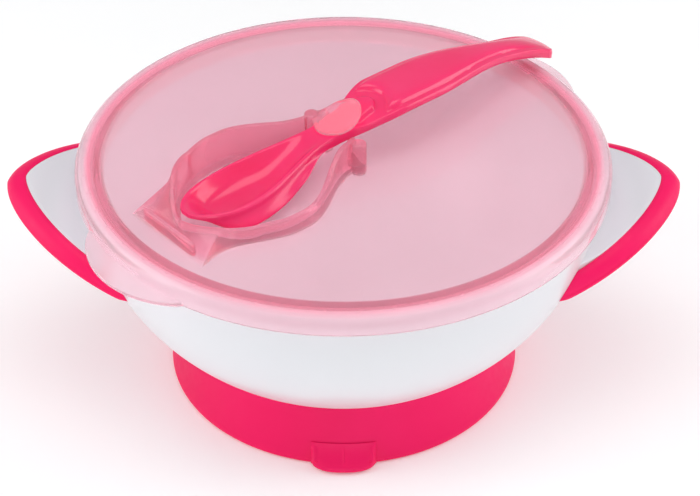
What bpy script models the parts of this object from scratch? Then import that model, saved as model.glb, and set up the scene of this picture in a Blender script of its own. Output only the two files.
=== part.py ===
"""Baby suction bowl: bowl with two ear handles, soft grips and suction foot, snap lid and spoon."""
import math

import bmesh
import bpy
from mathutils import Matrix, Vector

MM = 0.001
GAP = 0.3 * MM                      # running gap left between neighbouring pieces

# Heights above the table
LID_TOP_Z = 72.4 * MM               # flat top of the lid
EQUATOR_Z = 66.4 * MM               # widest level of the bowl
BOWL_FLOOR_Z = 12.0 * MM            # underside of the bowl's flat floor

# Bowl: a half ellipse turned about Z
BOWL_R = 72.6 * MM
BOWL_DEPTH = 64.0 * MM
BOWL_WALL = 2.2 * MM
ROUND_STEPS = 72

# Ear handles: a tilted wing whose plan is half of a superellipse
EAR_CENTRE_X = 55.0 * MM
EAR_SLOPE = 0.36                    # rise per unit of distance outwards
EAR_PLATE = 2.2 * MM
EAR_TOP_REACH = 34.7 * MM           # white top face, along X and Y
EAR_TOP_HALF = 34.5 * MM
EAR_TOP_POWER = 1.5
EAR_TOP_Z = LID_TOP_Z - 9.0 * MM    # height of the top face at EAR_TOP_X
EAR_TOP_X = 90.0 * MM
GRIP_REACH = 40.3 * MM              # outer edge of the soft grip
GRIP_HALF = 37.5 * MM
GRIP_POWER = 1.6
GRIP_EDGE_Z = LID_TOP_Z - 11.4 * MM  # height of the grip's edge at its tip
GRIP_LIP = 0.8 * MM
GRIP_UNDER = 1.3 * MM

# Suction foot
FOOT_TOP_R = 46.5 * MM
FOOT_RIM_R = 51.7 * MM
FOOT_LIP_R = 46.5 * MM
FOOT_CAVITY_Z = 9.5 * MM

# Release tab at the front of the foot
TAB_HALF = 9.2 * MM
TAB_ROOT_Y = -(FOOT_RIM_R + GAP)
TAB_REACH = 3.6 * MM
TAB_TOP_Z = 6.8 * MM

# Lid
LID_R = 75.0 * MM
LID_WALL = 1.3 * MM
SKIRT_DROP = 5.4 * MM
PLUG_R = 69.6 * MM
PLUG_DROP = 6.5 * MM
PULL_TAB_REACH = 7.0 * MM
PULL_TAB_SWEEP = math.radians(16.0)

# Spoon and its pocket share one axis across the lid
SPOON_ANGLE = math.radians(41.0)
SPOON_TIP = Vector((-41.3 * MM, -39.0 * MM, LID_TOP_Z))
SPOON_LENGTH = 134.5 * MM
NECK_U = 53.0 * MM
CLIP_HALF_LENGTH = 7.0 * MM
CLIP_HALF_WIDTH = 5.8 * MM
CLIP_SLOPE = 0.30

TPE_PINK = (0.86, 0.02, 0.17)
PP_WHITE = (0.86, 0.87, 0.89)
PP_CLEAR_PINK = (0.90, 0.42, 0.50)
SPOON_PINK = (0.90, 0.03, 0.15)


def clear_scene():
    for obj in list(bpy.data.objects):
        bpy.data.objects.remove(obj, do_unlink=True)


def new_collection(name):
    coll = bpy.data.collections.new(name)
    bpy.context.scene.collection.children.link(coll)
    return coll


def new_material(name, colour, roughness, alpha=1.0):
    mat = bpy.data.materials.new(name)
    mat.use_nodes = True
    shader = mat.node_tree.nodes["Principled BSDF"]
    shader.inputs["Base Color"].default_value = (*colour, 1.0)
    shader.inputs["Roughness"].default_value = roughness
    shader.inputs["Metallic"].default_value = 0.0
    shader.inputs["Alpha"].default_value = alpha
    return mat


def make_object(name, bm, coll, mat=None, smooth_angle=35.0):
    """Close a bmesh into an object whose faces point outwards."""
    bmesh.ops.recalc_face_normals(bm, faces=bm.faces)
    mesh = bpy.data.meshes.new(name)
    bm.to_mesh(mesh)
    bm.free()
    mesh.shade_smooth()
    mesh.set_sharp_from_angle(angle=math.radians(smooth_angle))
    obj = bpy.data.objects.new(name, mesh)
    coll.objects.link(obj)
    if mat:
        mesh.materials.append(mat)
    return obj


def as_cutter(obj):
    obj.hide_render = True
    obj.display_type = "WIRE"
    return obj


def turned(name, profile, coll, mat=None, steps=ROUND_STEPS):
    """Turn an (r, z) profile about Z; it runs down its outer side."""
    mesh = bpy.data.meshes.new(name)
    verts = [(r, 0.0, z) for r, z in profile]
    edges = [(i, i + 1) for i in range(len(verts) - 1)]
    mesh.from_pydata(verts, edges, [])
    obj = bpy.data.objects.new(name, mesh)
    coll.objects.link(obj)
    if mat:
        mesh.materials.append(mat)
    screw = obj.modifiers.new("turn", "SCREW")
    screw.steps = steps
    screw.render_steps = steps
    screw.use_merge_vertices = True
    screw.merge_threshold = 0.00002
    screw.use_smooth_shade = True
    return obj


def combine(obj, other, operation):
    mod = obj.modifiers.new(other.name, "BOOLEAN")
    mod.operation = operation
    mod.object = other
    mod.solver = "EXACT"


def loft(rings):
    """Skin closed rings of equal point count and cap both ends."""
    bm = bmesh.new()
    rows = [[bm.verts.new(p) for p in ring] for ring in rings]
    count = len(rows[0])
    for low, high in zip(rows, rows[1:]):
        for i in range(count):
            j = (i + 1) % count
            bm.faces.new((low[i], low[j], high[j], high[i]))
    bm.faces.new(rows[0])
    bm.faces.new(rows[-1])
    return bm


def bowl_radius(z, grow=0.0):
    """Outer radius of the bowl at a height, offset by grow."""
    if z >= EQUATOR_Z:
        return BOWL_R + grow
    part = (EQUATOR_Z - z) / (BOWL_DEPTH + grow)
    return (BOWL_R + grow) * math.sqrt(max(0.0, 1.0 - part * part))


def bowl_profile(grow, floor_z, top_z, points=18):
    """Points from the top of the wall down to the edge of the floor."""
    low = math.asin((EQUATOR_Z - floor_z) / (BOWL_DEPTH + grow))
    arc = []
    for i in range(points):
        drop = math.sin(low * i / (points - 1))
        arc.append(((BOWL_R + grow) * math.sqrt(1 - drop * drop), EQUATOR_Z - (BOWL_DEPTH + grow) * drop))
    return [(BOWL_R + grow, top_z)] + arc


def superellipse(reach, half, power, count=17):
    """Plan outline of one ear, from the near root round the tip to the far root."""
    points = []
    for i in range(count):
        turn = -math.pi / 2 + math.pi * i / (count - 1)
        c, s = math.cos(turn), math.sin(turn)
        x = EAR_CENTRE_X + reach * max(c, 0.0) ** (2 / power)
        y = half * math.copysign(abs(s) ** (2 / power), s)
        points.append((x, y))
    return points


def top_plane(x):
    return EAR_TOP_Z + EAR_SLOPE * (x - EAR_TOP_X)


def edge_plane(x):
    return GRIP_EDGE_Z + EAR_SLOPE * (x - (EAR_CENTRE_X + GRIP_REACH))


def ear_ring(outline, plane, side, lift=0.0):
    return [(side * x, side * y, plane(x) + lift) for x, y in outline]


def ear_plate(name, side, grow, coll):
    outline = superellipse(EAR_TOP_REACH + grow, EAR_TOP_HALF + grow, EAR_TOP_POWER)
    rings = [
        ear_ring(outline, top_plane, side, -EAR_PLATE - grow),
        ear_ring(outline, top_plane, side, grow),
    ]
    return as_cutter(make_object(name, loft(rings), coll))


def build_bowl(parts, cutters, mat):
    rim_z = LID_TOP_Z - LID_WALL - GAP
    outer = bowl_profile(0.0, BOWL_FLOOR_Z, rim_z)
    bowl = turned("bowl_shell", [(0.0, rim_z)] + outer + [(0.0, BOWL_FLOOR_Z)], parts, mat)
    inner_top = rim_z + 2 * MM
    inner = bowl_profile(-BOWL_WALL, BOWL_FLOOR_Z + BOWL_WALL, inner_top)
    hollow = turned(
        "bowl_hollow", [(0.0, inner_top)] + inner + [(0.0, BOWL_FLOOR_Z + BOWL_WALL)], cutters
    )
    as_cutter(hollow)
    for side, label in ((-1, "left"), (1, "right")):
        combine(bowl, ear_plate("ear_plate_" + label, side, 0.0, cutters), "UNION")
    combine(bowl, hollow, "DIFFERENCE")
    return bowl


def build_grips(parts, cutters, mat):
    body = turned(
        "bowl_clearance",
        [(0.0, LID_TOP_Z)] + bowl_profile(GAP, BOWL_FLOOR_Z, LID_TOP_Z) + [(0.0, BOWL_FLOOR_Z)],
        cutters,
    )
    as_cutter(body)
    top = superellipse(EAR_TOP_REACH + GRIP_LIP, EAR_TOP_HALF + GRIP_LIP, EAR_TOP_POWER)
    edge = superellipse(GRIP_REACH, GRIP_HALF, GRIP_POWER)
    under = superellipse(GRIP_REACH - GRIP_UNDER, GRIP_HALF - GRIP_UNDER, GRIP_POWER)
    for side, label in ((-1, "left"), (1, "right")):
        upper = ear_ring(top, top_plane, side)
        outer = ear_ring(edge, edge_plane, side)
        middle = [
            tuple(0.5 * (a + b) for a, b in zip(p, q)) for p, q in zip(upper, outer)
        ]
        middle = [(1.004 * x, 1.012 * y, z + 0.25 * MM) for x, y, z in middle]
        lower = ear_ring(under, edge_plane, side, -GRIP_UNDER)
        grip = make_object("handle_grip_" + label, loft([lower, outer, middle, upper]), parts, mat)
        combine(grip, ear_plate("grip_seat_" + label, side, GAP, cutters), "DIFFERENCE")
        combine(grip, body, "DIFFERENCE")


def build_foot(parts, mat):
    seat_z = BOWL_FLOOR_Z - GAP
    floor_r = bowl_radius(BOWL_FLOOR_Z, GAP)
    collar_z = EQUATOR_Z - (BOWL_DEPTH + GAP) * math.sqrt(1 - (FOOT_TOP_R / (BOWL_R + GAP)) ** 2)
    steps = 4
    seat = []
    for i in range(1, steps):
        z = seat_z + (collar_z - seat_z) * i / steps
        seat.append((bowl_radius(z, GAP), z))
    profile = [(0.0, seat_z), (floor_r, seat_z)] + seat + [
        (FOOT_TOP_R, collar_z),
        (FOOT_TOP_R + 0.5 * MM, collar_z - 0.4 * MM),
        (FOOT_TOP_R + 1.5 * MM, 12.5 * MM),
        (FOOT_TOP_R + 3.2 * MM, 7.0 * MM),
        (FOOT_RIM_R - 0.5 * MM, 3.2 * MM),
        (FOOT_RIM_R, 1.4 * MM),
        (FOOT_RIM_R - 0.3 * MM, 0.5 * MM),
        (FOOT_RIM_R - 1.0 * MM, 0.0),
        (FOOT_LIP_R, 0.0),
        (FOOT_LIP_R - 1.6 * MM, 1.8 * MM),
        (FOOT_LIP_R - 5.0 * MM, 5.2 * MM),
        (FOOT_LIP_R - 12.0 * MM, 8.2 * MM),
        (FOOT_LIP_R - 24.0 * MM, 9.3 * MM),
        (0.0, FOOT_CAVITY_Z),
    ]
    return turned("suction_foot", profile, parts, mat)


def tab_section(y, half, low, high, corner):
    """One upright slice of the release tab: a rectangle with cut corners."""
    return [
        (-half + corner, y, low), (half - corner, y, low), (half, y, low + corner),
        (half, y, high - corner), (half - corner, y, high), (-half + corner, y, high),
        (-half, y, high - corner), (-half, y, low + corner),
    ]


def build_release_tab(parts, mat):
    low = 0.4 * MM
    tip_y = TAB_ROOT_Y - TAB_REACH
    slices = [
        tab_section(TAB_ROOT_Y, TAB_HALF, low, TAB_TOP_Z, 0.4 * MM),
        tab_section(TAB_ROOT_Y - 0.8 * MM, TAB_HALF, low, 3.6 * MM, 0.4 * MM),
        tab_section(TAB_ROOT_Y - 2.0 * MM, 0.88 * TAB_HALF, low, 2.5 * MM, 0.4 * MM),
        tab_section(tip_y + 0.5 * MM, 0.62 * TAB_HALF, low, 2.3 * MM, 0.4 * MM),
        tab_section(tip_y, 0.42 * TAB_HALF, low + 0.4 * MM, 1.9 * MM, 0.3 * MM),
    ]
    tab = make_object("release_tab", loft(slices), parts, mat)
    hinge = Vector((0.0, TAB_ROOT_Y, TAB_TOP_Z))
    tab.data.transform(Matrix.Translation(-hinge))
    tab.location = hinge
    return tab


def spoon_frame():
    """Matrix from the spoon's own u, v, height to the bowl's frame."""
    return Matrix.Translation(SPOON_TIP) @ Matrix.Rotation(SPOON_ANGLE, 4, "Z")


def smoothstep(a, b, x):
    t = min(max((x - a) / (b - a), 0.0), 1.0)
    return t * t * (3 - 2 * t)


def spoon_height(u):
    """Height of the spoon's upper edge above the lid: it rises to an arch and comes down to the rim."""
    u_mm = u / MM
    rise = 6.5 + 4.6 * smoothstep(10, 52, u_mm) + 4.9 * smoothstep(47, 71, u_mm)
    past_peak = max(0.0, (u_mm - 80.0) / 54.5)
    return (rise - 11.4 * past_peak ** 2.6) * MM


def spoon_half_width(u):
    u_mm = u / MM
    head = 9.4 * math.sqrt(max(0.0, 1 - ((17 - u_mm) / 17.2) ** 2)) if u_mm < 17 else 9.4
    head -= 5.2 * smoothstep(17, 48, u_mm)
    handle = 4.2 + 5.5 * smoothstep(49, 70, u_mm) - 4.4 * smoothstep(82, 116, u_mm)
    width = head if u_mm < 50 else handle
    end = (SPOON_LENGTH / MM - u_mm) / 4.0
    if end < 1.0:
        width *= math.sqrt(max(0.0, 1 - (1 - end) ** 2))
    return max(width, 0.6) * MM


def spoon_hollow(u):
    """Depth of the spoon's bowl below its rim."""
    u_mm = u / MM
    return 5.0 * smoothstep(0.5, 10, u_mm) * (1 - smoothstep(24, 46, u_mm)) * MM


def spoon_thickness(u):
    u_mm = u / MM
    thin = 1.2 + 2.6 * smoothstep(30, 52, u_mm)
    return (thin - 0.6 * smoothstep(110, 134, u_mm)) * MM


def spoon_barrel(u):
    """How strongly the head swells out below its rim, on each side."""
    return 3.6 * smoothstep(2, 15, u / MM) * (1 - smoothstep(33, 46, u / MM)) * MM


def spoon_ring(u, across=9):
    """Cross-section of the spoon: its upper face, then back along the underside."""
    half, rim = spoon_half_width(u), spoon_height(u)
    hollow, thick = spoon_hollow(u), spoon_thickness(u)
    edge, shoulder = 0.35 * thick, 0.75 * thick
    ring = []
    for i in range(across):
        t = -1 + 2 * i / (across - 1)
        dish = hollow * (1 - abs(t) ** 2.6)
        ring.append((u, 0.9 * half * t, rim - dish))
    ring.append((u, half, rim - edge))
    for i in range(across):
        turn = math.pi * i / (across - 1)
        side, down = math.cos(turn), math.sin(turn)
        out = 0.93 * half * math.copysign(math.sqrt(abs(side)), side)
        out += spoon_barrel(u) * math.sin(2 * turn)
        depth = shoulder + (hollow + thick - shoulder) * math.sqrt(max(0.0, down))
        ring.append((u, out, rim - depth))
    ring.append((u, -half, rim - edge))
    return ring


def build_spoon(parts, mat):
    stations = [0.0, 0.8, 2.0, 4.0, 7.0, 10.0, 13.0, 17.0, 21.0, 25.0, 29.0, 33.0, 37.0, 41.0, 45.0]
    stations += [48.0, 52.0, 56.0, 60.0, 64.0, 68.0, 74.0, 80.0, 87.0, 94.0, 101.0, 108.0, 115.0]
    stations += [121.0, 126.0, 130.0, 132.5, 134.0, SPOON_LENGTH / MM]
    spoon = make_object("spoon", loft([spoon_ring(u * MM) for u in stations]), parts, mat)
    spoon.matrix_world = spoon_frame()
    return spoon


def pocket_half_width(u_mm):
    """Half width of the spoon pocket: square end, wide at the spoon's head, narrow at its neck."""
    flare = 15.0 - 1.2 * smoothstep(-6, 1, u_mm)
    belly = flare + 6.4 * smoothstep(1, 24, u_mm)
    return belly - 12.0 * smoothstep(26, 50, u_mm)


def pocket_height(u_mm, side):
    """Height of the pocket's wall: low on the near side, high on the far side and at the neck."""
    if side > 0:
        return 4.2 + 6.6 * smoothstep(-4, 8, u_mm) + 1.2 * smoothstep(40, 50, u_mm)
    return 4.2 + 4.6 * smoothstep(34, 50, u_mm)


def pocket_wall(side):
    """One side wall of the pocket, from the middle of its square end to the neck."""
    thick = 1.4
    start = -5.8
    path = [(start, 0.0), (start, 7.5), (start, 13.6)]
    path += [(u, pocket_half_width(u)) for u in range(-3, 51, 3)]
    rings = []
    for i, (u, v) in enumerate(path):
        before, after = path[max(i - 1, 0)], path[min(i + 1, len(path) - 1)]
        along = Vector((after[0] - before[0], after[1] - before[1])).normalized()
        inward = Vector((along.y, -along.x)) * thick
        top = pocket_height(u, side)
        ring = [(u, v, -0.6), (u + inward.x, v + inward.y, -0.6)]
        ring += [(u + inward.x, v + inward.y, top), (u, v, top)]
        rings.append([(a * MM, side * b * MM, c * MM) for a, b, c in ring])
    return loft(rings)


def neck_post(name, u_mm, v_mm, height_mm, cutters):
    bpy.ops.mesh.primitive_cylinder_add(vertices=24, radius=2.2 * MM, depth=(height_mm + 0.6) * MM)
    post = bpy.context.object
    post.name = name
    for coll in list(post.users_collection):
        coll.objects.unlink(post)
    cutters.objects.link(post)
    middle = Vector((u_mm * MM, v_mm * MM, (height_mm - 0.6) / 2 * MM))
    post.location = spoon_frame() @ middle
    return as_cutter(post)


def pull_tab(name, azimuth, cutters):
    """A crescent on the skirt's lower edge, to lift the lid by."""
    rings = []
    count = 13
    for i in range(count):
        t = -1 + 2 * i / (count - 1)
        angle = azimuth + PULL_TAB_SWEEP * t
        inner = LID_R - 1.0 * MM
        outer = LID_R - 0.4 * MM + PULL_TAB_REACH * math.cos(math.pi / 2 * t) ** 0.75
        low = LID_TOP_Z - SKIRT_DROP - 0.1 * MM
        high = low + 1.3 * MM
        c, s = math.cos(angle), math.sin(angle)
        ring = [(inner, low), (outer, low - 0.5 * MM), (outer, high - 0.5 * MM), (inner, high)]
        rings.append([(r * c, r * s, z) for r, z in ring])
    return as_cutter(make_object(name, loft(rings), cutters))


def build_lid(parts, cutters, mat):
    top = 0.0
    profile = [
        (0.0, top),
        (PLUG_R - 0.6 * MM, top),
        (PLUG_R + 0.2 * MM, top - 0.5 * MM),
        (PLUG_R + 1.8 * MM, top - 0.5 * MM),
        (PLUG_R + 2.4 * MM, top),
        (LID_R - 1.4 * MM, top),
        (LID_R - 0.4 * MM, top - 0.6 * MM),
        (LID_R, top - 1.8 * MM),
        (LID_R, top - SKIRT_DROP),
        (LID_R - LID_WALL, top - SKIRT_DROP),
        (LID_R - LID_WALL, top - LID_WALL),
        (PLUG_R, top - LID_WALL - 0.1 * MM),
        (PLUG_R - 0.3 * MM, top - PLUG_DROP),
        (PLUG_R - LID_WALL, top - PLUG_DROP),
        (PLUG_R - LID_WALL - 0.3 * MM, top - LID_WALL),
        (0.0, top - LID_WALL),
    ]
    lid = turned("lid", profile, parts, mat)
    lid.location = (0.0, 0.0, LID_TOP_Z)
    for side, label in ((-1, "near"), (1, "far")):
        wall = make_object("pocket_wall_" + label, pocket_wall(side), cutters)
        wall.matrix_world = spoon_frame()
        combine(lid, as_cutter(wall), "UNION")
    combine(lid, neck_post("neck_post_near", 53.0, -8.6, 9.4, cutters), "UNION")
    combine(lid, neck_post("neck_post_far", 50.0, 8.2, 12.3, cutters), "UNION")
    combine(lid, pull_tab("pull_tab_front", SPOON_ANGLE + math.pi, cutters), "UNION")
    combine(lid, pull_tab("pull_tab_back", SPOON_ANGLE, cutters), "UNION")
    return lid


def build_clip(parts, mat):
    """Oval tongue that reaches from the far post over the spoon's neck."""
    count = 32
    tilt = Matrix.Rotation(-math.atan(CLIP_SLOPE), 4, "Y")
    low = 1.0 * MM
    rings = []
    for scale, z in ((0.93, low), (1.0, low + 0.4 * MM), (1.0, low + 0.9 * MM), (0.93, low + 1.3 * MM)):
        ring = []
        for i in range(count):
            turn = 2 * math.pi * i / count
            ring.append((scale * CLIP_HALF_LENGTH * math.cos(turn), scale * CLIP_HALF_WIDTH * math.sin(turn), z))
        rings.append(ring)
    clip = make_object("spoon_clip", loft(rings), parts, mat)
    place = Matrix.Translation((NECK_U, 0.4 * MM, spoon_height(NECK_U)))
    clip.matrix_world = spoon_frame() @ place @ tilt
    return clip


def main():
    clear_scene()
    parts = new_collection("suction_bowl")
    cutters = new_collection("cutters")
    white = new_material("white_pp", PP_WHITE, 0.22)
    pink = new_material("pink_tpe", TPE_PINK, 0.42)
    clear = new_material("clear_pink_pp", PP_CLEAR_PINK, 0.18, alpha=0.55)
    spoon_pink = new_material("spoon_pink_pp", SPOON_PINK, 0.12)
    build_bowl(parts, cutters, white)
    build_grips(parts, cutters, pink)
    build_foot(parts, pink)
    build_release_tab(parts, pink)
    build_lid(parts, cutters, clear)
    build_clip(parts, clear)
    build_spoon(parts, spoon_pink)


main()
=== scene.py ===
"""Looks of the baby suction bowl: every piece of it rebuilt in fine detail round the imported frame."""
import math

import bmesh
import bpy
import numpy as np
from mathutils import Matrix, Vector


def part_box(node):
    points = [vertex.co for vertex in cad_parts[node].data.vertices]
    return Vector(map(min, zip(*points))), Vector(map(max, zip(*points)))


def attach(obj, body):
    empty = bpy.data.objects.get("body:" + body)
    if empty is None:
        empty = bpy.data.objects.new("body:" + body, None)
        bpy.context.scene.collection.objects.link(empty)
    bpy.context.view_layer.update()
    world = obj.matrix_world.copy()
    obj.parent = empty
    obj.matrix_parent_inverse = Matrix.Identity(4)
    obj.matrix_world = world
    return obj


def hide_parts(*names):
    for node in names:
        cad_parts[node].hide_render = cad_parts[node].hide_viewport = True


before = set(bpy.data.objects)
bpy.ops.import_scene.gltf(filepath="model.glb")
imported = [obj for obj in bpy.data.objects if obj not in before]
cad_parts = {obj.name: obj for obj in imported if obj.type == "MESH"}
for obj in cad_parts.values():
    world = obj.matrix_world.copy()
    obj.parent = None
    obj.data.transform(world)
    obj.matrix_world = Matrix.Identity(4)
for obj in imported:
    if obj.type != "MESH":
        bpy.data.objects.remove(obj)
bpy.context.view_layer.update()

MM = 0.001

# ---------------------------------------------------------------- driving sizes, in millimetres
LID_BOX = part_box("lid")
BOWL_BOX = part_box("bowl_shell")
FOOT_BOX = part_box("suction_foot")
GRIP_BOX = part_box("handle_grip_right")
TAB_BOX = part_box("release_tab")

LID_CLEARANCE = 1.6                              # from the bowl's rim up to the lid's top face
LID_TOP = BOWL_BOX[1].z / MM + LID_CLEARANCE
LID_R = LID_BOX[1].y / MM
BOWL_R = BOWL_BOX[1].y / MM
FOOT_R = FOOT_BOX[1].x / MM
GRIP_TIP_X = GRIP_BOX[1].x / MM
BOWL_DEPTH = 64.0
BOWL_EQUATOR = LID_TOP - 6.0
BOWL_FLOOR = 12.0
BOWL_WALL = 2.2

EAR_CENTRE_X = 55.0
EAR_SLOPE = 0.36
EAR_PLATE = 2.2
EAR_REACH, EAR_HALF, EAR_POWER = 34.7, 34.5, 1.5
EAR_LEVEL_REACH = 35.0                           # where the drop below is measured, from EAR_CENTRE_X
EAR_TOP_DROP = 9.0                               # from the lid's top down to the ear's
GRIP_REACH, GRIP_HALF, GRIP_POWER = GRIP_TIP_X - EAR_CENTRE_X, 37.5, 1.6
GRIP_EDGE_DROP = 11.4                            # from the lid's top down to the grip's edge, at its tip

SPOON_ANGLE = math.radians(41.0)
SPOON_TIP = Vector((-41.3, -39.0, LID_TOP))
SPOON_LENGTH = 134.5
NECK_U = 53.0
CLIP_CENTRE = (NECK_U, 0.4)                      # u along the spoon, v across it
CLIP_HALF_U, CLIP_HALF_V = 7.0, 5.8
CLIP_SLOPE = 0.28
NEAR_POST, FAR_POST = (NECK_U, -8.4), (50.0, 8.0)

SMOOTH_ANGLE = 38.0                              # degrees; sharper edges stay hard


# ---------------------------------------------------------------- small helpers
def smoothstep(a, b, x):
    t = np.clip((np.asarray(x, float) - a) / (b - a), 0.0, 1.0)
    return t * t * (3 - 2 * t)


def new_object(name, verts, faces, smooth_angle=SMOOTH_ANGLE):
    """Object from points in millimetres, with its faces pointing outwards."""
    mesh = bpy.data.meshes.new(name)
    mesh.from_pydata((np.asarray(verts, float) * MM).tolist(), [], faces)
    bm = bmesh.new()
    bm.from_mesh(mesh)
    bmesh.ops.recalc_face_normals(bm, faces=bm.faces)
    bm.to_mesh(mesh)
    bm.free()
    shade(mesh, smooth_angle)
    obj = bpy.data.objects.new(name, mesh)
    bpy.context.scene.collection.objects.link(obj)
    return obj


def shade(mesh, angle):
    mesh.shade_smooth()
    mesh.set_sharp_from_angle(angle=math.radians(angle))


def skin(name, rings, start=None, end=None, smooth_angle=SMOOTH_ANGLE):
    """Closed rings of equal point count; each end is a flat cap, or a fan to the given point."""
    rings = np.asarray(rings, float)
    rows, count = rings.shape[:2]
    verts = rings.reshape(-1, 3).tolist()
    faces = []
    for r in range(rows - 1):
        low, high = r * count, (r + 1) * count
        faces += [(low + i, low + (i + 1) % count, high + (i + 1) % count, high + i) for i in range(count)]
    for row, pole in ((0, start), (rows - 1, end)):
        base = row * count
        if pole is None:
            faces.append(tuple(base + i for i in range(count)))
            continue
        verts.append(tuple(pole))
        tip = len(verts) - 1
        faces += [(base + i, base + (i + 1) % count, tip) for i in range(count)]
    return new_object(name, verts, faces, smooth_angle)


def soften(points, steps=5):
    """(r, z, radius) corners of a profile, each rounded into a short curve."""
    out = [points[0][:2]]
    for before, here, after in zip(points, points[1:], points[2:]):
        corner = np.array(here[:2])
        if here[2] <= 0:
            out.append(tuple(corner))
            continue
        arms = []
        for other in (before, after):
            arm = np.array(other[:2]) - corner
            size = np.linalg.norm(arm)
            arms.append(corner + arm / size * min(here[2], 0.48 * size))
        for k in range(steps + 1):
            t = k / steps
            out.append(tuple((1 - t) ** 2 * arms[0] + 2 * t * (1 - t) * corner + t * t * arms[1]))
    out.append(points[-1][:2])
    return out


def turned(name, profile, steps=256, smooth_angle=SMOOTH_ANGLE):
    """Turn an (r, z) profile, which starts and ends on the axis, about Z."""
    turn = np.linspace(0, 2 * math.pi, steps, endpoint=False)
    rings = [np.stack([r * np.cos(turn), r * np.sin(turn), np.full(steps, z)], 1) for r, z in profile[1:-1]]
    return skin(name, rings, (0, 0, profile[0][1]), (0, 0, profile[-1][1]), smooth_angle)


def join(target, others, operation, smooth_angle=SMOOTH_ANGLE):
    """Boolean the others into the target, and keep the result as its mesh."""
    for other in others:
        mod = target.modifiers.new("join", "BOOLEAN")
        mod.operation = operation
        mod.object = other
        mod.solver = "EXACT"
        depsgraph = bpy.context.evaluated_depsgraph_get()
        mesh = bpy.data.meshes.new_from_object(target.evaluated_get(depsgraph))
        target.modifiers.clear()
        old = target.data
        target.data = mesh
        bpy.data.meshes.remove(old)
    for other in others:
        bpy.data.objects.remove(other, do_unlink=True)
    bm = bmesh.new()
    bm.from_mesh(target.data)
    bmesh.ops.dissolve_degenerate(bm, dist=0.000002, edges=bm.edges)
    bm.to_mesh(target.data)
    bm.free()
    shade(target.data, smooth_angle)
    return target


def place(obj, matrix):
    """Move an object by a matrix whose shift is in millimetres, into its mesh."""
    shift = matrix.copy()
    shift.translation = matrix.translation * MM
    obj.data.transform(shift)
    return obj


# ---------------------------------------------------------------- materials
NOISE_LOW, NOISE_HIGH = 0.3, 0.7                 # the span that a noise texture mostly stays in


class Nodes:
    """A short way to write a material's node tree."""

    def __init__(self, name):
        self.mat = bpy.data.materials.new(name)
        self.mat.use_nodes = True
        self.tree = self.mat.node_tree
        self.shader = self.tree.nodes["Principled BSDF"]
        self.out = self.tree.nodes["Material Output"]
        self.coords = self.add("ShaderNodeTexCoord").outputs["Object"]

    def add(self, kind, inputs=(), **settings):
        node = self.tree.nodes.new(kind)
        for key, value in settings.items():
            setattr(node, key, value)
        for key, value in dict(inputs).items():
            if isinstance(value, bpy.types.NodeSocket):
                self.tree.links.new(value, node.inputs[key])
            else:
                node.inputs[key].default_value = value
        return node

    def noise(self, scale, detail=3.0, roughness=0.5, stretch=None):
        vector = self.coords
        if stretch:
            vector = self.add("ShaderNodeMapping", {"Vector": vector, "Scale": stretch}).outputs[0]
        node = self.add("ShaderNodeTexNoise", {"Vector": vector, "Scale": scale, "Detail": detail})
        node.inputs["Roughness"].default_value = roughness
        return node.outputs["Fac"]

    def ramp(self, value, low, high, out_low, out_high):
        node = self.add("ShaderNodeMapRange", {"Value": value, "From Min": low, "From Max": high})
        node.inputs["To Min"].default_value = out_low
        node.inputs["To Max"].default_value = out_high
        return node.outputs["Result"]

    def spread(self, noise, out_low=0.0, out_high=1.0):
        return self.ramp(noise, NOISE_LOW, NOISE_HIGH, out_low, out_high)

    def blend(self, factor, first, second):
        node = self.add("ShaderNodeMix", data_type="RGBA")
        self.tree.links.new(factor, node.inputs["Factor"])
        node.inputs["A"].default_value = (*first, 1.0)
        node.inputs["B"].default_value = (*second, 1.0)
        return node.outputs["Result"]

    def link(self, value, socket):
        self.tree.links.new(value, self.shader.inputs[socket])

    def set(self, **values):
        for key, value in values.items():
            self.shader.inputs[key.replace("_", " ")].default_value = value

    def bump(self, layers):
        """layers: (height value, strength, distance in metres), chained."""
        normal = None
        for height, strength, distance in layers:
            node = self.add("ShaderNodeBump", {"Height": height, "Strength": strength, "Distance": distance})
            if normal:
                self.tree.links.new(normal, node.inputs["Normal"])
            normal = node.outputs["Normal"]
        self.link(normal, "Normal")


def white_polypropylene():
    """Cool white gloss plastic with the faint swirl and orange peel of a moulding."""
    m = Nodes("white_pp")
    swirl = m.noise(14.0, 2.0, 0.5)
    m.link(m.blend(m.spread(swirl), (0.77, 0.78, 0.815), (0.81, 0.82, 0.85)), "Base Color")
    m.link(m.spread(m.noise(18.0, 2.0), 0.27, 0.32), "Roughness")
    m.bump([(m.noise(30.0, 2.0), 0.02, 0.0002), (m.noise(600.0, 2.0), 0.02, 0.00002)])
    m.set(IOR=1.49, Coat_Weight=0.10, Coat_Roughness=0.12)
    return m.mat


def pink_elastomer():
    """Soft-touch thermoplastic elastomer: saturated, satin, with a fine spark-eroded grain."""
    m = Nodes("pink_tpe")
    cloud = m.noise(30.0, 3.0)
    m.link(m.blend(m.spread(cloud), (0.91, 0.001, 0.108), (0.97, 0.003, 0.130)), "Base Color")
    m.link(m.spread(m.noise(420.0, 3.0), 0.40, 0.52), "Roughness")
    m.bump([(m.noise(1500.0, 3.0, 0.6), 0.16, 0.00006), (m.noise(5200.0, 2.0), 0.10, 0.00002)])
    m.set(IOR=1.48, Specular_IOR_Level=0.28, Sheen_Weight=0.02, Sheen_Roughness=0.4)
    m.shader.inputs["Sheen Tint"].default_value = (1.0, 0.45, 0.6, 1.0)
    return m.mat


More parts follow.
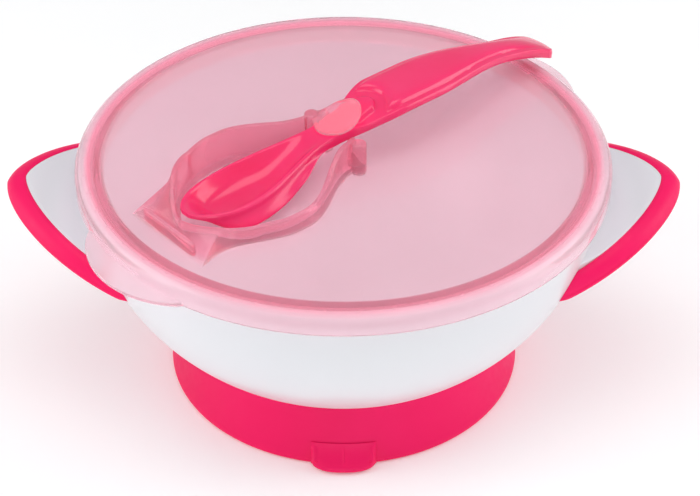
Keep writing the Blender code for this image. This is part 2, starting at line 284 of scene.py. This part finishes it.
def clear_pink_polypropylene():
    """Translucent pink: clear in the thin panel, salmon above it and over the plug ring."""
    m = Nodes("clear_pink_pp")
    swirl = m.noise(16.0, 4.0, 0.55)
    thin = m.blend(m.spread(swirl), (0.960, 0.820, 0.860), (0.980, 0.860, 0.895))
    place_in_lid = m.add("ShaderNodeSeparateXYZ", {0: m.coords})
    flat = m.add("ShaderNodeCombineXYZ", {"X": place_in_lid.outputs["X"], "Y": place_in_lid.outputs["Y"]})
    reach = m.add("ShaderNodeVectorMath", {0: flat.outputs[0]}, operation="LENGTH").outputs["Value"]
    raised = m.ramp(place_in_lid.outputs["Z"], (LID_TOP - 0.25) * MM, (LID_TOP + 0.9) * MM, 0.0, 1.0)
    ring_in = m.ramp(reach, 67.4 * MM, 68.6 * MM, 0.0, 0.9)
    ring_out = m.ramp(reach, 71.2 * MM, 72.6 * MM, 1.0, 0.0)
    ring = m.add("ShaderNodeMath", {0: ring_in, 1: ring_out}, operation="MULTIPLY").outputs[0]
    thick = m.add("ShaderNodeMath", {0: ring, 1: raised}, operation="MAXIMUM").outputs[0]
    colour = m.add("ShaderNodeMix", {"Factor": thick}, data_type="RGBA")
    m.tree.links.new(thin, colour.inputs["A"])
    colour.inputs["B"].default_value = (0.99, 0.50, 0.61, 1.0)
    m.link(colour.outputs["Result"], "Base Color")
    m.link(m.spread(m.noise(120.0, 3.0), 0.10, 0.16), "Roughness")
    m.bump([(m.noise(140.0, 2.0), 0.05, 0.0002), (m.noise(1800.0, 2.0), 0.04, 0.00003)])
    m.set(IOR=1.36, Transmission_Weight=0.72)
    absorb = m.add("ShaderNodeVolumeAbsorption", {"Color": (0.96, 0.25, 0.48, 1.0), "Density": 100.0})
    m.tree.links.new(absorb.outputs[0], m.out.inputs["Volume"])
    light_path = m.add("ShaderNodeLightPath")
    clear = m.add("ShaderNodeBsdfTransparent", {"Color": (0.97, 0.91, 0.93, 1.0)})
    surface = m.add("ShaderNodeMixShader", {
        0: light_path.outputs["Is Shadow Ray"], 1: m.shader.outputs[0], 2: clear.outputs[0]})
    m.tree.links.new(surface.outputs[0], m.out.inputs["Surface"])
    return m.mat


def spoon_polypropylene():
    """High-gloss hot pink, faintly translucent at its thin edges."""
    m = Nodes("spoon_pink_pp")
    flow = m.noise(40.0, 3.0, 0.5, stretch=(1.0, 1.0, 3.0))
    m.link(m.blend(m.spread(flow), (0.92, 0.020, 0.135), (0.97, 0.035, 0.170)), "Base Color")
    m.link(m.spread(m.noise(300.0, 3.0), 0.13, 0.22), "Roughness")
    m.bump([(m.noise(180.0, 2.0), 0.04, 0.0002), (m.noise(2400.0, 2.0), 0.04, 0.00003)])
    m.set(IOR=1.5, Coat_Weight=0.15, Coat_Roughness=0.10, Subsurface_Weight=0.15, Subsurface_Scale=0.002)
    m.shader.inputs["Subsurface Radius"].default_value = (1.0, 0.15, 0.3)
    return m.mat


def dress(obj, body, mat, slot, *nodes):
    """Give a piece its material and its body, and hide the CAD nodes that it stands for."""
    obj.data.materials.clear()
    obj.data.materials.append(mat)
    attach(obj, body)
    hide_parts(*nodes)
    return obj


# ---------------------------------------------------------------- bowl, ears and grips
def bowl_radius(z, grow=0.0):
    """Radius of the bowl's outside at a height, or of a skin that lies grow outside it."""
    part = np.clip((BOWL_EQUATOR - np.asarray(z, float)) / (BOWL_DEPTH + grow), 0.0, 1.0)
    return (BOWL_R + grow) * np.sqrt(1 - part * part)


def bowl_arc(grow, floor, count=56):
    """Points of the half ellipse from its widest level down to the floor."""
    low = math.asin((BOWL_EQUATOR - floor) / (BOWL_DEPTH + grow))
    turn = np.linspace(0, low, count)
    return [((BOWL_R + grow) * math.cos(t), BOWL_EQUATOR - (BOWL_DEPTH + grow) * math.sin(t)) for t in turn]


def superellipse(reach, half, power, turn):
    """Point on the outline of an ear or a grip, seen from above."""
    c, s = np.cos(turn), np.sin(turn)
    x = EAR_CENTRE_X + reach * np.clip(c, 0, None) ** (2 / power)
    y = half * np.sign(s) * np.abs(s) ** (2 / power)
    return x, y


def ear_top(x):
    return LID_TOP - EAR_TOP_DROP + EAR_SLOPE * (x - EAR_CENTRE_X - EAR_LEVEL_REACH)


def grip_edge(x):
    return LID_TOP - GRIP_EDGE_DROP + EAR_SLOPE * (x - GRIP_TIP_X)


def root_turn(reach, half, power, height):
    """Turn at which an ear's outline runs into the middle of the bowl's wall."""
    low, high = 0.0, math.pi / 2
    for _ in range(40):
        turn = 0.5 * (low + high)
        x, y = superellipse(reach, half, power, turn)
        if math.hypot(x, y) > float(bowl_radius(height(x))) - 0.5 * BOWL_WALL:
            low = turn
        else:
            high = turn
    return low


def wall_point(x, y, height):
    """Point inside the bowl's wall on the way from the axis to (x, y)."""
    azimuth = math.atan2(y, x)
    r = BOWL_R
    for _ in range(6):
        r = float(bowl_radius(height(r * math.cos(azimuth)))) - 0.5 * BOWL_WALL
    return r * math.cos(azimuth), r * math.sin(azimuth)


def ear_stations(limit, count):
    """Turns round an ear's outline, close together at its tip where it bends most."""
    t = np.linspace(-1, 1, count)
    return limit * np.sign(t) * np.abs(t) ** 1.25


def ear_plate(name, side, grow=0.0, count=121):
    """White wing: a dished plate with a fillet where it leaves the bowl."""
    limit = root_turn(EAR_REACH, EAR_HALF, EAR_POWER, ear_top)
    across = np.linspace(0, 1, 22) ** 1.15
    rings = []
    for turn in ear_stations(limit, count):
        ox, oy = superellipse(EAR_REACH + grow, EAR_HALF + grow, EAR_POWER, turn)
        ix, iy = wall_point(ox, oy, ear_top)
        length = max(math.hypot(ox - ix, oy - iy), 0.3)
        top, low = [], []
        for t in across:
            x, y = ix + (ox - ix) * t, iy + (oy - iy) * t
            fillet = 2.6 * max(0.0, 1 - t * length / 6.5) ** 2
            dish = 0.35 * math.sin(math.pi * t) * min(1.0, length / 12)
            edge = 0.28 * max(0.0, 1 - (1 - t) * length / 0.7) ** 2
            top.append((side * x, side * y, ear_top(x) + fillet - dish - edge + grow))
            low.append((side * x, side * y, ear_top(x) - EAR_PLATE - 0.6 * fillet - grow))
        rings.append(top + low[::-1])
    return skin(name, rings)


def bowl_body(name, grow):
    """The bowl as one solid, without its hollow: what the grips are fitted against."""
    arc = bowl_arc(grow, BOWL_FLOOR)
    profile = [(0, LID_TOP), (BOWL_R + grow, LID_TOP)] + arc + [(0, BOWL_FLOOR)]
    return turned(name, profile, 192)


def build_bowl(mat):
    rim = LID_TOP - LID_CLEARANCE
    outer = bowl_arc(0.0, BOWL_FLOOR)
    inner = bowl_arc(-BOWL_WALL, BOWL_FLOOR + BOWL_WALL)
    lip = soften([
        (BOWL_R - BOWL_WALL, BOWL_EQUATOR, 0), (BOWL_R - BOWL_WALL, rim, 0.8),
        (BOWL_R, rim, 0.8), (BOWL_R, BOWL_EQUATOR, 0)])
    profile = [(0, BOWL_FLOOR + BOWL_WALL)] + inner[::-1][:-1] + lip + outer[1:] + [(0, BOWL_FLOOR)]
    bowl = turned("bowl_moulding", profile, 288)
    join(bowl, [ear_plate("ear_left", -1), ear_plate("ear_right", 1)], "UNION")
    return dress(bowl, "base", mat, "white_pp", "bowl_shell")


def grip_rings(side, count=141):
    """Soft skin round an ear's edge: a convex outer band, a rolled edge and the underside."""
    limit = root_turn(GRIP_REACH, GRIP_HALF, GRIP_POWER, grip_edge)
    lip, under = 0.7, 1.5
    rings = []
    for turn in ear_stations(limit, count):
        tx, ty = superellipse(EAR_REACH + lip, EAR_HALF + lip, EAR_POWER, turn)
        ex, ey = superellipse(GRIP_REACH, GRIP_HALF, GRIP_POWER, turn)
        cx, cy = wall_point(ex, ey, grip_edge)
        top = np.array([tx, ty, ear_top(tx)])
        edge = np.array([ex, ey, grip_edge(ex)])
        out = np.array([ex - cx, ey - cy, 0.0])
        reach = np.linalg.norm(out)
        out /= max(reach, 1e-6)
        run = edge - top
        swell = np.array([out[0], out[1], 0.9]) * 0.16 * min(np.linalg.norm(run), 5.5)
        ring = [(cx, cy, ear_top(cx) - 0.5 * EAR_PLATE)]
        for inwards, sink in ((min(2.0, 0.4 * reach), 0.5 * EAR_PLATE), (min(0.9, 0.2 * reach), 0.32)):
            inside = top - out * inwards
            ring.append((inside[0], inside[1], ear_top(inside[0]) - sink))
        for k in range(13):
            t = k / 12
            bulge = 4 * t * (1 - t) * (1 - 0.35 * t)
            ring.append(tuple(top + run * t * 0.98 + swell * bulge))
        roll = min(0.9, 0.3 * reach)
        for k in range(1, 7):
            a = math.pi * k / 7
            drop = np.array([0, 0, roll * (1 - math.cos(a))])
            ring.append(tuple(edge - out * roll * (1 - math.sin(a)) - drop))
        inner = edge - out * min(under + roll, 0.6 * reach)
        ring.append((inner[0], inner[1], inner[2] - 2 * roll - 0.15))
        ring.append((cx, cy, grip_edge(cx) - 2 * roll - 0.6))
        rings.append([(side * x, side * y, z) for x, y, z in ring])
    return rings


def build_grips(mat):
    for side, label in ((-1, "left"), (1, "right")):
        grip = skin("grip_" + label, grip_rings(side))
        join(grip, [ear_plate("ear_seat", side, 0.06), bowl_body("bowl_seat", 0.05)], "DIFFERENCE")
        dress(grip, "base", mat, "pink_tpe", "handle_grip_" + label)


# ---------------------------------------------------------------- suction foot and its tab
FOOT_TOP_R = 46.5
FOOT_GAP = 0.25                                  # air between the foot's collar and the bowl
TAB_GAP = 0.32                                   # air between the tab and the foot's skirt
FOOT_SKIRT = [(FOOT_TOP_R + 0.2, 15.5, 0), (FOOT_TOP_R + 0.5, 14.4, 0.8), (FOOT_TOP_R + 1.5, 11.5, 3.0),
              (FOOT_TOP_R + 3.0, 7.2, 3.0), (FOOT_R - 0.65, 3.2, 1.6), (FOOT_R, 1.5, 0.8),
              (FOOT_R - 0.1, 0.5, 0.4)]


def foot_radius(z):
    points = soften(FOOT_SKIRT)
    heights = [p[1] for p in points][::-1]
    radii = [p[0] for p in points][::-1]
    return float(np.interp(z, heights, radii))


def build_foot(mat):
    """Flared skirt on a collar, with a thin sealing lip and the concave membrane inside."""
    seat = BOWL_FLOOR - 0.3
    collar = [(float(bowl_radius(z, FOOT_GAP)), z, 0) for z in np.linspace(seat + 0.2, 18.0, 9)]
    collar = [p for p in collar if p[0] < FOOT_TOP_R - 0.3]
    part = (FOOT_TOP_R - 0.2) / (BOWL_R + FOOT_GAP)
    top = float(BOWL_EQUATOR - (BOWL_DEPTH + FOOT_GAP) * math.sqrt(1 - part ** 2))
    profile = [(0, seat, 0), (float(bowl_radius(seat, FOOT_GAP)), seat, 0)] + collar
    profile += [(FOOT_TOP_R - 0.2, top, 0.3), (FOOT_TOP_R + 0.1, top - 0.5, 0.3)]
    profile += [p for p in FOOT_SKIRT if p[1] < top - 1.0]
    profile += [(FOOT_R - 1.0, 0.0, 0.4), (FOOT_R - 5.2, 0.0, 0.5), (FOOT_R - 6.6, 1.6, 1.5),
                (FOOT_R - 10.0, 4.8, 3.0), (FOOT_R - 17.0, 7.9, 4.0), (FOOT_R - 29.0, 9.2, 4.0),
                (8.0, 9.5, 2.0), (3.2, 9.5, 0.5), (2.6, 8.7, 0.4), (0, 8.6, 0)]
    foot = turned("foot_moulding", soften(profile, 4), 256)
    return dress(foot, "base", mat, "pink_tpe", "suction_foot")


def skirt_front(x, z, lift):
    """Y of the skirt's front at (x, z), moved out by lift."""
    return -math.sqrt((foot_radius(z) + lift) ** 2 - x * x)


def build_release_tab(mat):
    """Tongue over the front of the skirt, with raised side ridges, a rolled lip and a middle line."""
    half, top, reach = 9.2, TAB_BOX[1].z / MM, -TAB_BOX[0].y / MM - FOOT_R - 0.3
    rings = []
    for x in np.linspace(-half, half, 75):
        side = abs(x) / half
        out = reach * (1 - side ** 3.2) ** 0.62
        ridge = 0.55 * math.exp(-((abs(x) - half + 1.1) / 0.65) ** 2) + 0.25 * math.exp(-(x / 0.22) ** 2)
        closing = 1 - smoothstep(0.93, 1.0, side)
        ring = []
        for z in np.linspace(0.5, top, 9):
            ring.append((x, skirt_front(x, z, TAB_GAP), z))
        for k, z in enumerate(np.linspace(top, 3.0, 12)):
            t = k / 11
            body = 0.10 + 1.1 * t ** 1.3 + out * 0.30 * t * t
            raised = ridge * float(smoothstep(0.05, 0.6, t))
            ring.append((x, skirt_front(x, z, TAB_GAP + (body + raised) * (0.12 + 0.88 * closing)), z))
        lip = skirt_front(x, 1.4, TAB_GAP) - out * closing
        for dy, z in ((0.9, 2.55), (0.35, 2.25), (0.05, 1.8), (0.0, 1.3), (0.15, 0.85), (0.6, 0.5)):
            y = min(lip + dy * closing, skirt_front(x, z, TAB_GAP + 0.08))
            ring.append((x, y, z + (0.0 if z < 2 else 0.3 * ridge)))
        rings.append(ring)
    tab = skin("release_tongue", rings)
    return dress(tab, "release_tab", mat, "pink_tpe", "release_tab")


# ---------------------------------------------------------------- lid
POCKET_CENTRE = (24.0, 0.8)         # u, v in the spoon's own frame
PANEL = -0.35                       # the panel's top, under the rim's top
PANEL_THICKNESS = 1.3
LID_SMOOTH_ANGLE = 30.0
POCKET_END = -5.6
RIM_RIBS, RIB_STEPS = 52, 14
TAB_MIDDLES = (SPOON_ANGLE, SPOON_ANGLE + math.pi)
TAB_REACH, TAB_HALF_ANGLE = 6.6, math.radians(16.0)


def spoon_place():
    return Matrix.Translation(SPOON_TIP) @ Matrix.Rotation(SPOON_ANGLE, 4, "Z")


def base_half(u):
    """Half width of the pocket where it meets the panel."""
    waist = 15.0 - 1.4 * smoothstep(POCKET_END, 0.5, u)
    return waist + 6.6 * smoothstep(1, 23, u) - 11.4 * smoothstep(26, 52, u)


def inner_half(u):
    """Half width of the pocket inside its wall: a smooth teardrop."""
    side = base_half(np.maximum(u, 14.0)) - 2.8
    end = np.clip((14.0 - np.asarray(u, float)) / 15.0, 0.0, 1.0)
    return side * (1 - end ** 1.6) ** 0.75


def pocket_height(u, v):
    """Height of the pocket's wall: low on the near side, high on the far side and at the neck."""
    far = 4.2 + 6.6 * smoothstep(-4, 8, u) + 1.2 * smoothstep(40, 50, u)
    near = 4.2 + 4.6 * smoothstep(34, 50, u)
    return near + (far - near) * smoothstep(-4, 6, v)


def closed_outline(side_u, side_half, tail_u, square_end=False):
    """Both sides of an outline about the pocket's axis, as polar (angle, radius) about its centre."""
    close = np.linspace(-1, 1, 41)
    u = np.concatenate([side_u, side_u[::-1], np.full(41, tail_u)])
    v = np.concatenate([side_half, -side_half[::-1], close * side_half[0]])
    if square_end:
        u = np.concatenate([u, np.full(81, side_u[-1])])
        v = np.concatenate([v, np.linspace(1, -1, 81) * side_half[-1]])
    du = u - POCKET_CENTRE[0]
    angle = np.arctan2(v, du)
    order = np.argsort(angle)
    return angle[order], np.hypot(du, v)[order]


def polar(outline, angle):
    return np.interp(angle, outline[0], outline[1], period=2 * math.pi)


def pocket_outlines():
    """Polar outlines of the pocket: its square-ended foot on the panel, and its teardrop inside."""
    side = np.linspace(54.5, POCKET_END, 240)
    base = closed_outline(side, base_half(side), 55.0, square_end=True)
    side = np.concatenate([np.linspace(53.0, 0.0, 200), np.linspace(1, 0, 60) ** 2 - 1])
    inner = closed_outline(side, inner_half(side), 53.0)
    return base, inner


def offset_outline(outline, distance):
    """A polar outline moved outwards by a distance along its normal."""
    angle = np.linspace(-math.pi, math.pi, 1441)
    r = polar(outline, angle)
    u, v = r * np.cos(angle), r * np.sin(angle)
    du, dv = np.gradient(u), np.gradient(v)
    size = np.hypot(du, dv)
    u, v = u + distance * dv / size, v - distance * du / size
    new = np.arctan2(v, u)
    order = np.argsort(new)
    return new[order], np.hypot(u, v)[order]


def rim_profile(reach):
    """The lid from the middle of its underside, round plug ring, groove and skirt, to the panel."""
    return soften([
        (60.0, PANEL - PANEL_THICKNESS, 0), (67.3, PANEL - PANEL_THICKNESS, 0.5),
        (67.5, -6.5, 0.6), (69.6, -6.5, 0.6),
        (69.7, -1.45, 0.3), (73.6, -1.4, 0.5), (73.7, -5.2, 0.3), (73.9, -5.95, 0.2),
        (LID_R + reach, -5.95, 0.45), (LID_R + reach, -4.95, 0.45), (LID_R, -4.55, 0.35),
        (LID_R, -1.7, 1.6), (LID_R - 1.7, -0.1, 1.4), (72.6, 0.0, 0.5), (68.6, 0.0, 0.5),
        (67.9, PANEL, 0.5), (66.6, PANEL, 0)], 4)


def tab_reach(azimuth):
    """How far the two pull tabs stand out from the skirt."""
    reach = np.zeros_like(azimuth)
    for middle in TAB_MIDDLES:
        off = np.abs((azimuth - middle + math.pi) % (2 * math.pi) - math.pi) / TAB_HALF_ANGLE
        reach = np.maximum(reach, TAB_REACH * np.cos(math.pi / 2 * np.clip(off, 0, 1)) ** 0.75)
    return reach


def build_lid_shell():
    """Rim, panel and spoon pocket as one skin of matching rings."""
    stations = RIM_RIBS * RIB_STEPS
    azimuth = np.linspace(0, 2 * math.pi, stations, endpoint=False)
    tabs = tab_reach(azimuth)
    profiles = np.array([rim_profile(reach) for reach in tabs])
    rib = (np.arange(stations) % RIB_STEPS == RIB_STEPS // 2).astype(float)
    rings = []
    for k in range(profiles.shape[1]):
        r, z = profiles[:, k, 0], profiles[:, k, 1].copy()
        on_rim = (z > -0.2) & (r > 69.2) & (r < 72.7)
        z += 0.22 * rib * on_rim
        rings.append(np.stack([r * np.cos(azimuth), r * np.sin(azimuth), z], 1))
    edge = rings[-1][:, :2]
    c, s = math.cos(SPOON_ANGLE), math.sin(SPOON_ANGLE)
    du, dv = edge[:, 0] - SPOON_TIP.x, edge[:, 1] - SPOON_TIP.y
    edge_u = du * c + dv * s - POCKET_CENTRE[0]
    edge_v = -du * s + dv * c - POCKET_CENTRE[1]
    angle, far = np.arctan2(edge_v, edge_u), np.hypot(edge_u, edge_v)
    flat = np.zeros_like(far)

    def ring(radius, height):
        u = radius * np.cos(angle) + POCKET_CENTRE[0]
        v = radius * np.sin(angle) + POCKET_CENTRE[1]
        x, y = SPOON_TIP.x + u * c - v * s, SPOON_TIP.y + u * s + v * c
        return np.stack([x, y, PANEL + height], 1)

    base, inner = pocket_outlines()
    r_base, r_in = polar(base, angle), polar(inner, angle)
    r_top = np.maximum(polar(offset_outline(inner, 1.45), angle), r_in + 1.2)
    r_base = np.maximum(r_base, r_top + 0.5)
    u_in, v_in = r_in * np.cos(angle) + POCKET_CENTRE[0], r_in * np.sin(angle)
    open_neck = np.where(u_in > 44, smoothstep(3.4, 4.6, np.abs(v_in)), 1.0)
    height = (pocket_height(u_in, v_in) - PANEL) * open_neck
    for t in np.linspace(0, 1, 13)[1:-1]:
        rings.append(ring(far + (r_base + 0.9 - far) * t, flat))
    rings.append(ring(r_base + 0.9, flat))
    rings.append(ring(r_base + 0.35, 0.12 * np.minimum(1, height)))
    for t in np.linspace(0, 1, 8):
        rings.append(ring(r_base + (r_top - r_base) * t, height * (0.06 + 0.86 * t)))
    width = r_top - r_in
    for t, drop in ((0.08, 0.28), (0.25, 0.04), (0.5, 0.0), (0.75, 0.04), (0.92, 0.28)):
        rings.append(ring(r_top - width * t, height - drop * np.minimum(1, height)))
    for t in (0.1, 0.3, 0.5, 0.7, 0.88, 0.96, 1.0):
        fillet = 0.9 * smoothstep(0.8, 1.0, t)
        rings.append(ring(r_in - 0.35 * t - fillet, height * (1 - t)))
    for t in np.linspace(1, 0, 14)[1:-1]:
        rings.append(ring((r_in - 1.4) * t, flat))
    middle = ring(flat, flat)[0]
    lift = np.array([0, 0, LID_TOP])
    rings = [r + lift for r in rings]
    start = (0, 0, LID_TOP + PANEL - PANEL_THICKNESS)
    return skin("lid_moulding", rings, start, tuple(middle + lift), LID_SMOOTH_ANGLE)


def neck_post(name, u, v, height):
    """Round-topped post beside the spoon's neck."""
    r = 2.1
    profile = soften([(0, -0.9, 0), (r + 0.1, -0.9, 0), (r, height, 0.9), (0, height + 0.1, 0)])
    post = turned(name, profile, 40)
    return place(post, spoon_place() @ Matrix.Translation((u, v, 0)))


def end_rib(name):
    """Straight rib across the pocket's square end."""
    half, depth, middle = 10.8, 0.75, POCKET_END + 0.9
    low, high = -0.9, 3.35
    rings = []
    for t in np.linspace(-1, 1, 25):
        v = half * t
        r = depth * (1 - 0.45 * abs(t) ** 12)
        ring = [(middle - r, v, low)]
        for a in np.linspace(-0.25 * math.pi, 1.25 * math.pi, 12):
            ring.append((middle - r * math.cos(a), v, high + r * math.sin(a)))
        ring.append((middle + r, v, low))
        rings.append(ring)
    rib = skin(name, rings)
    return place(rib, spoon_place() @ Matrix.Translation((0, POCKET_CENTRE[1], 0)))


def spoon_level(u):
    """Height of the spoon's upper edge above the lid: it rises to an arch and comes down to the rim."""
    rise = 6.5 + 4.6 * smoothstep(10, 52, u) + 4.9 * smoothstep(47, 71, u)
    past_peak = np.maximum(0.0, (np.asarray(u, float) - 80.0) / 54.5)
    return rise - 11.4 * past_peak ** 2.6


def build_clip():
    """Round tongue over the spoon's neck, with a raised rim and a short arm to the far post."""
    rings = []
    turn = np.linspace(0, 2 * math.pi, 96, endpoint=False)
    arm_turn = math.atan2(FAR_POST[1] - CLIP_CENTRE[1], FAR_POST[0] - CLIP_CENTRE[0])
    off = (turn - arm_turn + math.pi) % (2 * math.pi) - math.pi
    arm = 2.6 * np.exp(-(off / 0.36) ** 2)
    radius = 1 / np.hypot(np.cos(turn) / CLIP_HALF_U, np.sin(turn) / CLIP_HALF_V)
    base = float(spoon_level(NECK_U)) + 0.85

    def layer(inset, scale, lift):
        r = (radius - inset) * scale + arm * max(0.0, 1 - inset / 1.2) * (scale == 1)
        u, v = r * np.cos(turn), r * np.sin(turn)
        sag = 0.030 * v * v
        return np.stack([u, v, base + CLIP_SLOPE * u - sag + lift], 1)

    for k in range(1, 6):
        rings.append(layer(0.5, k / 6, 0.0))
    for inset, lift in ((0.35, 0.0), (0.1, 0.16), (0.0, 0.4), (0.0, 0.8), (0.1, 1.12), (0.4, 1.3),
                        (0.8, 1.25), (1.1, 0.95), (1.35, 0.62)):
        rings.append(layer(inset, 1, lift))
    for k in range(5, 0, -1):
        rings.append(layer(1.4, k / 6, 0.6))
    clip = skin("clip_tongue", rings, (0, 0, base), (0, 0, base + 0.6))
    return place(clip, spoon_place() @ Matrix.Translation((*CLIP_CENTRE, 0)))


def build_lid(mat):
    lid = build_lid_shell()
    parts = [neck_post("post_near", *NEAR_POST, 9.3), neck_post("post_far", *FAR_POST, 12.2)]
    parts += [end_rib("end_rib"), build_clip()]
    join(lid, parts, "UNION", LID_SMOOTH_ANGLE)
    return dress(lid, "lid", mat, "clear_pink_pp", "lid", "spoon_clip")


# ---------------------------------------------------------------- spoon
PANEL_STEP = 1.5


def spoon_half(u):
    """Half width of the spoon along its length."""
    u = np.asarray(u, float)
    tip = np.where(u < 17, np.sqrt(np.clip(1 - ((17 - u) / 17.2) ** 2, 0, 1)), 1.0)
    head = 9.4 * tip - 5.2 * smoothstep(17, 48, u)
    handle = 4.2 + 5.5 * smoothstep(49, 70, u) - 4.4 * smoothstep(82, 116, u)
    width = np.where(u < 50, head, handle)
    end = np.clip((SPOON_LENGTH - u) / 4.0, 0, 1)
    return np.maximum(width * (1 - (1 - end) ** 2.4) ** 0.45, 0.25)


def hollow_depth(u):
    """Depth of the hollow in the spoon's head, along its middle."""
    return 5.0 * smoothstep(0.5, 10, u) * (1 - smoothstep(24, 46, u))


def panel_step(u):
    """Height of the handle's raised panel over the flange beside it: it fades out near the end."""
    return PANEL_STEP * (1 - smoothstep(112, 131, u))


def spoon_top(u, v, half):
    """Height of the upper face against the spoon's edge level."""
    t = np.abs(v) / half
    lip = 1.3 / max(half, 1.4)
    bowl = -hollow_depth(u) * (1 - np.clip(t / (1 - lip), 0, 1) ** 3.0)
    step = panel_step(u)
    inside = np.minimum(half - 1.7 - np.abs(v), 0.9 * (u - 68.0 + 6.5 * (v / 9.0) ** 2))
    inside = np.minimum(inside, 0.8 * (SPOON_LENGTH - 4.0 - u))
    panel = step * (1 - np.exp(-np.clip(inside, 0, None) / 0.9))
    groove = 0.30 * np.exp(-(inside / 0.45) ** 2) * step / PANEL_STEP
    pad_end = np.minimum(4.0 - np.abs(v), 65.5 - u - 0.2 * v * v)
    pad = 1.25 * smoothstep(0.0, 1.0, pad_end)
    raised = np.maximum(panel - groove, pad)
    handle = raised - step - 0.3 * t * t
    return bowl + smoothstep(52, 58, u) * handle


def spoon_section(u):
    """Closed section of the spoon: its upper face, then its edge and its rounded underside."""
    half, level = float(spoon_half(u)), float(spoon_level(u))
    thick = 1.2 + 2.6 * float(smoothstep(30, 52, u)) - 0.6 * float(smoothstep(110, 134, u))
    on_handle = float(smoothstep(50, 58, u))
    step = on_handle * float(panel_step(u))
    edge_drop = 0.45 + 0.35 * on_handle
    across = np.sin(np.linspace(-math.pi / 2, math.pi / 2, 57))
    v = 0.985 * half * across
    round_off = edge_drop * np.clip((np.abs(across) - 0.93) / 0.07, 0, 1) ** 2
    top = level + spoon_top(np.full(57, u), v, half) - round_off
    blunt = 1.1 * (1 - math.sqrt(1 - (1 - min(1.0, (SPOON_LENGTH - u) / 1.8)) ** 2))
    ring = [(u, a, b - blunt) for a, b in zip(v, top)]
    side = level - step - 0.3 * on_handle - edge_drop - 0.3 - blunt
    ring.append((u, half, side))
    barrel = 3.6 * float(smoothstep(2, 15, u)) * (1 - float(smoothstep(33, 46, u)))
    thick -= blunt
    shoulder = (0.80 + 0.08 * on_handle) * thick + 0.35 * on_handle
    for turn in np.linspace(0.02, math.pi - 0.02, 45):
        across_it = math.copysign(math.sqrt(abs(math.cos(turn))), math.cos(turn))
        out = 0.97 * half * across_it + barrel * math.sin(2 * turn)
        depth = shoulder + (float(hollow_depth(u)) + thick - shoulder) * math.sqrt(math.sin(turn))
        ring.append((u, out, min(level - depth, side - 0.1)))
    ring.append((u, -half, side))
    return ring


def build_spoon(mat):
    """Sections along the spoon: close together at both ends and where the handle's panel begins."""
    stations = list(np.linspace(0.05, 1.0, 6) ** 2 * 3.0)
    for start, stop, step in ((3.6, 55.0, 0.8), (55.0, 72.0, 0.35), (72.0, 126.0, 0.8), (126.0, 132.0, 0.4)):
        stations += list(np.arange(start, stop, step))
    stations += list(SPOON_LENGTH - np.linspace(1.0, 0.05, 8) ** 2 * 2.4)
    spoon = skin("spoon_moulding", [spoon_section(u) for u in stations], smooth_angle=50.0)
    place(spoon, spoon_place())
    return dress(spoon, "spoon", mat, "spoon_pink_pp", "spoon")


# ---------------------------------------------------------------- studio
def build_floor():
    bpy.ops.mesh.primitive_plane_add(size=3.0)
    floor = bpy.context.object
    floor.name = "floor"
    m = Nodes("studio_white")
    m.link(m.blend(m.noise(3.0), (0.965, 0.965, 0.965), (0.98, 0.98, 0.98)), "Base Color")
    m.set(Roughness=0.9, Emission_Strength=0.11)
    m.shader.inputs["Emission Color"].default_value = (1.0, 1.0, 1.0, 1.0)
    floor.data.materials.append(m.mat)


def area_light(name, location, size, power):
    light = bpy.data.lights.new(name, "AREA")
    light.shape = "RECTANGLE"
    light.size, light.size_y = size
    light.energy = power
    lamp = bpy.data.objects.new(name, light)
    lamp.location = location
    lamp.rotation_euler = (Vector((0, 0, 0.04)) - Vector(location)).to_track_quat("-Z", "Y").to_euler()
    bpy.context.scene.collection.objects.link(lamp)


def build_studio():
    build_floor()
    world = bpy.data.worlds.new("studio")
    bpy.context.scene.world = world
    world.use_nodes = True
    background = world.node_tree.nodes["Background"]
    background.inputs["Color"].default_value = (0.97, 0.98, 1.0, 1.0)
    background.inputs["Strength"].default_value = 0.42
    area_light("softbox_top", (0.0, -0.05, 0.98), (0.9, 0.6), 3.2)
    area_light("softbox_front", (0.0, -0.95, 0.40), (0.9, 0.4), 1.8)
    area_light("softbox_left", (-0.85, -0.1, 0.45), (0.5, 0.7), 2.7)
    area_light("softbox_right", (0.85, 0.05, 0.45), (0.5, 0.7), 2.7)
    bpy.context.scene.view_settings.view_transform = "Standard"


def build_camera():
    distance, elevation, pitch = 522.0, math.radians(34.1), math.radians(37.15)
    data = bpy.data.cameras.new("camera")
    data.sensor_width = 36.0
    data.lens = 95.9
    camera = bpy.data.objects.new("camera", data)
    height = LID_TOP + distance * math.sin(elevation)
    camera.location = (1.8 * MM, -distance * math.cos(elevation) * MM, height * MM)
    camera.rotation_euler = (math.pi / 2 - pitch, 0.0, 0.0)
    bpy.context.scene.collection.objects.link(camera)
    bpy.context.scene.camera = camera


def main():
    build_camera()
    white = white_polypropylene()
    elastomer = pink_elastomer()
    build_bowl(white)
    build_grips(elastomer)
    build_foot(elastomer)
    build_release_tab(elastomer)
    build_lid(clear_pink_polypropylene())
    build_spoon(spoon_polypropylene())
    build_studio()


main()
